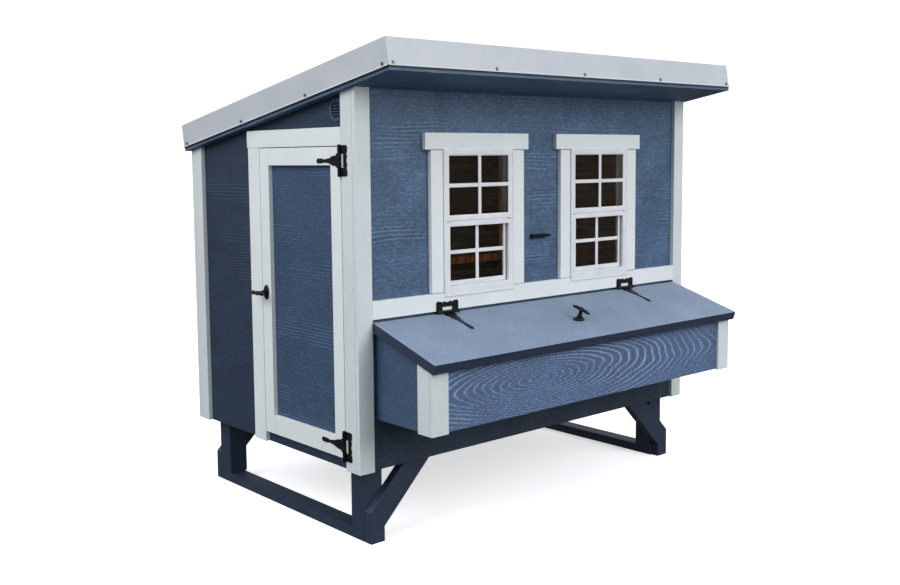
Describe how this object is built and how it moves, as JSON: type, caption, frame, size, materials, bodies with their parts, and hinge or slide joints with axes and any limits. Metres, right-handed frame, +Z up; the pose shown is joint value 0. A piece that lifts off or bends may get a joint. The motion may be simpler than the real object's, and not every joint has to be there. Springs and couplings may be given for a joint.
{
  "type": "chicken coop",
  "caption": "Raised wooden chicken coop with a metal shed roof, side door, sash windows and an outside nest box under a hinged lid.",
  "frame": {"origin": "on the ground, under the centre of the bounding box", "axes": "+Z up; +X along the long front, from the door end; the nest box faces -Y"},
  "size_m": [2.014, 1.5942, 1.8478],
  "materials": {
    "blue_painted_wood": "satin blue exterior paint on grooved plywood siding",
    "navy_painted_wood": "dark navy exterior paint on sawn timber",
    "white_painted_wood": "white exterior paint on planed boards",
    "raw_wood": "unpainted planed softwood",
    "coated_steel_sheet": "pale grey coil-coated steel",
    "black_coated_steel": "black powder coat, satin",
    "zinc_screws": "zinc plated",
    "window_glass": "clear float glass",
    "white_window_frame": "white extruded vinyl",
    "blue_vent_plastic": "moulded plastic, painted with the wall"
  },
  "bodies": {
    "coop": {"skid_left": "navy_painted_wood", "skid_right": "navy_painted_wood", "post_front_left": "navy_painted_wood", "post_front_right": "navy_painted_wood", "post_rear_left": "navy_painted_wood", "post_rear_right": "navy_painted_wood", "brace_front_left": "navy_painted_wood", "brace_front_right": "navy_painted_wood", "brace_rear_left": "navy_painted_wood", "brace_rear_right": "navy_painted_wood", "floor_frame": "raw_wood", "floor_panel": "raw_wood", "front_wall": "blue_painted_wood", "rear_wall": "blue_painted_wood", "left_wall": "blue_painted_wood", "right_wall": "blue_painted_wood", "wall_frame": "raw_wood", "soffit_panel": "blue_painted_wood", "roof_frame": "raw_wood", "roof_sheet": "coated_steel_sheet", "fascia_front": "coated_steel_sheet", "fascia_rear": "coated_steel_sheet", "fascia_left": "coated_steel_sheet", "fascia_right": "coated_steel_sheet", "fascia_screws": "zinc_screws", "corner_front_left": "white_painted_wood", "corner_front_right": "white_painted_wood", "corner_rear_left": "white_painted_wood", "corner_rear_right": "white_painted_wood", "belly_band": "white_painted_wood", "window_trim_left": "white_painted_wood", "window_trim_right": "white_painted_wood", "door_trim": "white_painted_wood", "hinge_leaves": "black_coated_steel", "hinge_pins": "black_coated_steel", "window_frame_left": "white_window_frame", "window_frame_right": "white_window_frame", "upper_glass": "window_glass", "nest_box": "blue_painted_wood", "nest_corner_boards": "white_painted_wood", "nest_dividers": "raw_wood", "keeper_screw": "black_coated_steel", "roost_bars": "raw_wood", "wall_vents": "blue_vent_plastic", "hen_door_guides": "white_painted_wood"},
    "door": {"door_panel": "blue_painted_wood", "door_frame": "white_painted_wood", "door_hinge_straps": "black_coated_steel", "door_handle_plate": "black_coated_steel"},
    "door_handle": {"door_handle": "black_coated_steel"},
    "nest_lid": {"nest_lid": "blue_painted_wood", "lid_hinge_straps": "black_coated_steel", "lid_handle_plate": "black_coated_steel"},
    "lid_handle": {"lid_handle": "black_coated_steel"},
    "lid_keeper": {"lid_keeper": "black_coated_steel"},
    "sash_left": {"sash_left": "white_window_frame", "lower_glass_left": "window_glass"},
    "sash_right": {"sash_right": "white_window_frame", "lower_glass_right": "window_glass"},
    "hen_door": {"hen_door": "blue_painted_wood"}
  },
  "joints": [
    {"name": "door_hinge", "type": "hinge", "parent": "coop", "child": "door", "pos_m": [-0.96, -0.3639, 0.907], "axis": [0, 0, 1], "range_deg": [0, 165]},
    {"name": "door_handle_turn", "type": "hinge", "parent": "door", "child": "door_handle", "pos_m": [-0.953, 0.1601, 0.907], "axis": [1, 0, 0], "range_deg": [0, 90]},
    {"name": "nest_lid_hinge", "type": "hinge", "parent": "coop", "child": "nest_lid", "pos_m": [0.012, -0.4589, 0.849], "axis": [-1, 0, 0], "range_deg": [0, 97]},
    {"name": "lid_handle_turn", "type": "hinge", "parent": "nest_lid", "child": "lid_handle", "pos_m": [0.012, -0.65219, 0.78034], "axis": [0, -0.3024, 0.9532], "range_deg": [0, 90]},
    {"name": "lid_keeper_swivel", "type": "hinge", "parent": "coop", "child": "lid_keeper", "pos_m": [-0.037, -0.4419, 1.112], "axis": [0, 1, 0], "range_deg": [-90, 90]},
    {"name": "sash_left_slide", "type": "slide", "parent": "coop", "child": "sash_left", "axis": [0, 0, 1], "range_m": [0, 0.225]},
    {"name": "sash_right_slide", "type": "slide", "parent": "coop", "child": "sash_right", "axis": [0, 0, 1], "range_m": [0, 0.225]},
    {"name": "hen_door_slide", "type": "slide", "parent": "coop", "child": "hen_door", "axis": [0, 0, 1], "range_m": [0, 0.3]}
  ]
}
